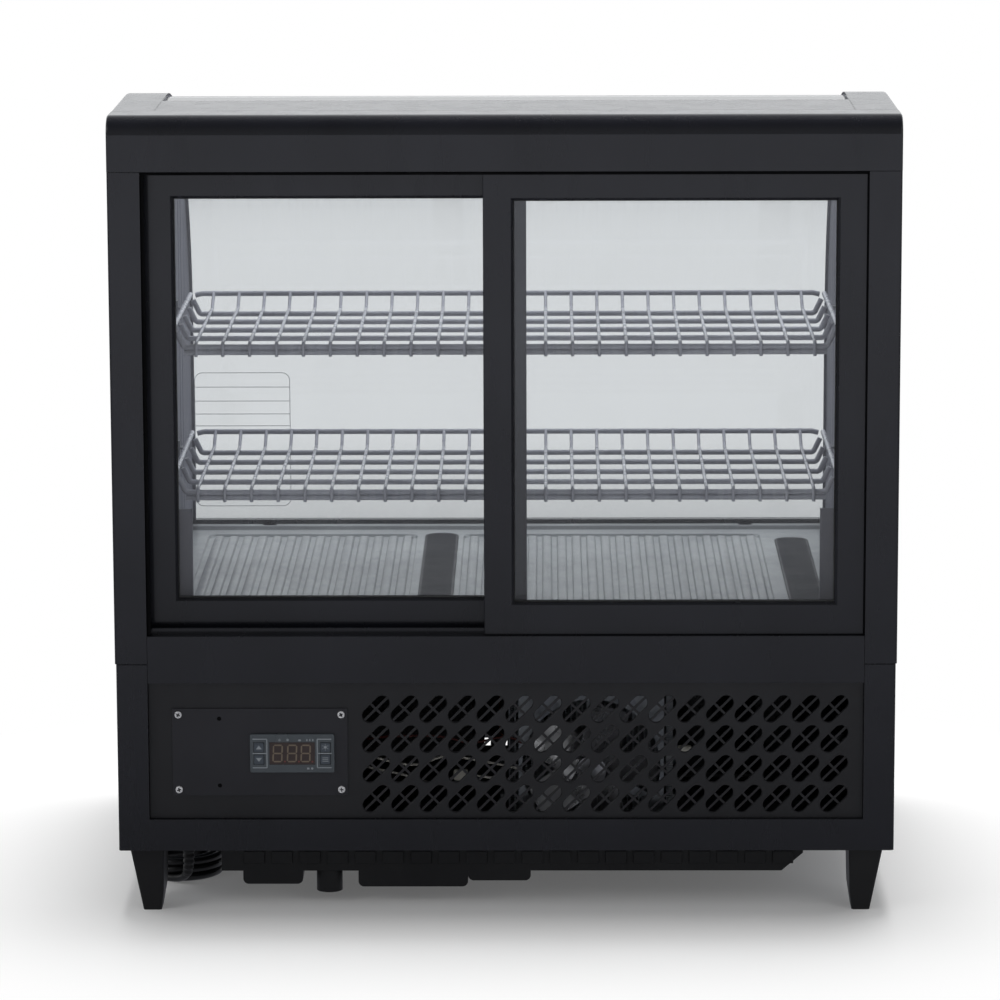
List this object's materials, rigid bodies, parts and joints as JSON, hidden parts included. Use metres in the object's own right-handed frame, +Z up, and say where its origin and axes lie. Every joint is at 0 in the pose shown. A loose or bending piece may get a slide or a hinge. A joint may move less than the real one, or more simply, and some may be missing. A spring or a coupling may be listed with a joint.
{
  "type": "refrigerated countertop display case",
  "caption": "Countertop refrigerated bakery display case: two sliding rear doors, curved front glass, wire shelves, vented machine base on feet.",
  "frame": {"origin": "centre of the footprint on the surface that the feet stand on", "axes": "+Z up, -Y towards the service side with the sliding doors, +Y towards the customer side with the curved glass, +X to the right seen from the service side"},
  "size_m": [0.682, 0.45, 0.702],
  "materials": {
    "black_paint": "semi-gloss powder coat",
    "black_extrusion": "satin black anodised look",
    "black_plastic": "moulded, fine grain",
    "panel_plastic": "moulded, fine grain",
    "gloss_black": "gloss",
    "tinted_window": "smoked gloss",
    "key_plastic": "satin",
    "screw_steel": "nickel plated",
    "liner_plastic": "satin grey",
    "deck_plastic": "satin grey",
    "vent_plastic": "dark grey",
    "foam": null,
    "clear_glass": "polished",
    "rubber_black": "matte",
    "coated_wire": "grey coated wire",
    "standard_metal": "satin",
    "light_diffuser": "frosted",
    "galvanised": "satin galvanised",
    "fin_aluminium": "mill finish",
    "copper": "drawn copper",
    "compressor_paint": "gloss black",
    "fan_blade": "mill finish",
    "fan_plastic": "moulded",
    "cord_pvc": "satin PVC",
    "pin_brass": "plated",
    "nylon": "slippery"
  },
  "bodies": {
    "cabinet": {"base_wrap": "black_paint", "base_pan": "galvanised", "feet": "black_plastic", "foot_bolts": "screw_steel", "under_tray": "black_plastic", "service_panel": "panel_plastic", "control_plate": "black_paint", "control_plate_screws": "screw_steel", "controller_body": "gloss_black", "controller_window": "tinted_window", "rear_sill": "black_extrusion", "lower_track": "black_extrusion", "upper_track": "black_extrusion", "rear_posts": "black_extrusion", "rear_header": "black_extrusion", "side_shell_right": "black_paint", "side_shell_left": "black_paint", "side_foam": "foam", "side_liner_right": "liner_plastic", "side_liner_left": "liner_plastic", "shelf_standards": "standard_metal", "shelf_clips": "standard_metal", "top_panel": "black_paint", "ceiling_liner": "liner_plastic", "light_housing": "galvanised", "light_diffuser": "light_diffuser", "front_glass": "clear_glass", "glass_seals": "rubber_black", "front_rail": "black_extrusion", "deck_tray": "deck_plastic", "deck_vents": "vent_plastic", "deck_foam": "foam", "evaporator_tub": "foam", "evaporator_coil": "fin_aluminium", "evaporator_fan_frame": "fan_plastic", "compressor": "compressor_paint", "compressor_mounts": "rubber_black", "condenser": "fin_aluminium", "condenser_fan_frame": "galvanised", "filter_drier": "copper", "refrigerant_pipes": "copper", "cable_gland": "rubber_black", "power_cord": "cord_pvc", "power_cord_coil": "cord_pvc", "plug": "cord_pvc", "plug_pins": "pin_brass"},
    "door_left": {"door_left_frame": "black_extrusion", "door_left_glass": "clear_glass", "door_left_glides": "nylon"},
    "door_right": {"door_right_frame": "black_extrusion", "door_right_glass": "clear_glass", "door_right_glides": "nylon"},
    "shelf_upper": {"shelf_upper": "coated_wire"},
    "shelf_lower": {"shelf_lower": "coated_wire"},
    "condenser_fan": {"condenser_fan": "fan_blade"},
    "evaporator_fan": {"evaporator_fan": "fan_plastic"},
    "key_up": {"key_up": "key_plastic"},
    "key_down": {"key_down": "key_plastic"},
    "key_lamp": {"key_lamp": "key_plastic"},
    "key_set": {"key_set": "key_plastic"}
  },
  "joints": [
    {"name": "door_left_slide", "type": "slide", "parent": "cabinet", "child": "door_left", "axis": [1, 0, 0], "range_m": [0, 0.2935]},
    {"name": "door_right_slide", "type": "slide", "parent": "cabinet", "child": "door_right", "axis": [1, 0, 0], "range_m": [-0.2935, 0]},
    {"name": "shelf_upper_lift", "type": "slide", "parent": "cabinet", "child": "shelf_upper", "axis": [0, 0, 1], "range_m": [0, 0.03]},
    {"name": "shelf_lower_lift", "type": "slide", "parent": "cabinet", "child": "shelf_lower", "axis": [0, 0, 1], "range_m": [0, 0.03]},
    {"name": "condenser_fan_spin", "type": "hinge", "parent": "cabinet", "child": "condenser_fan", "pos_m": [0.075, -0.185, 0.1223], "axis": [0, 1, 0], "continuous": true},
    {"name": "evaporator_fan_spin", "type": "hinge", "parent": "cabinet", "child": "evaporator_fan", "pos_m": [-0.139, 0.035, 0.1723], "axis": [1, 0, 0], "continuous": true},
    {"name": "key_up_press", "type": "slide", "parent": "cabinet", "child": "key_up", "axis": [0, 1, 0], "range_m": [0, 0.0006], "stiffness_N_per_m": 500},
    {"name": "key_down_press", "type": "slide", "parent": "cabinet", "child": "key_down", "axis": [0, 1, 0], "range_m": [0, 0.0006], "stiffness_N_per_m": 500},
    {"name": "key_lamp_press", "type": "slide", "parent": "cabinet", "child": "key_lamp", "axis": [0, 1, 0], "range_m": [0, 0.0006], "stiffness_N_per_m": 500},
    {"name": "key_set_press", "type": "slide", "parent": "cabinet", "child": "key_set", "axis": [0, 1, 0], "range_m": [0, 0.0006], "stiffness_N_per_m": 500}
  ]
}
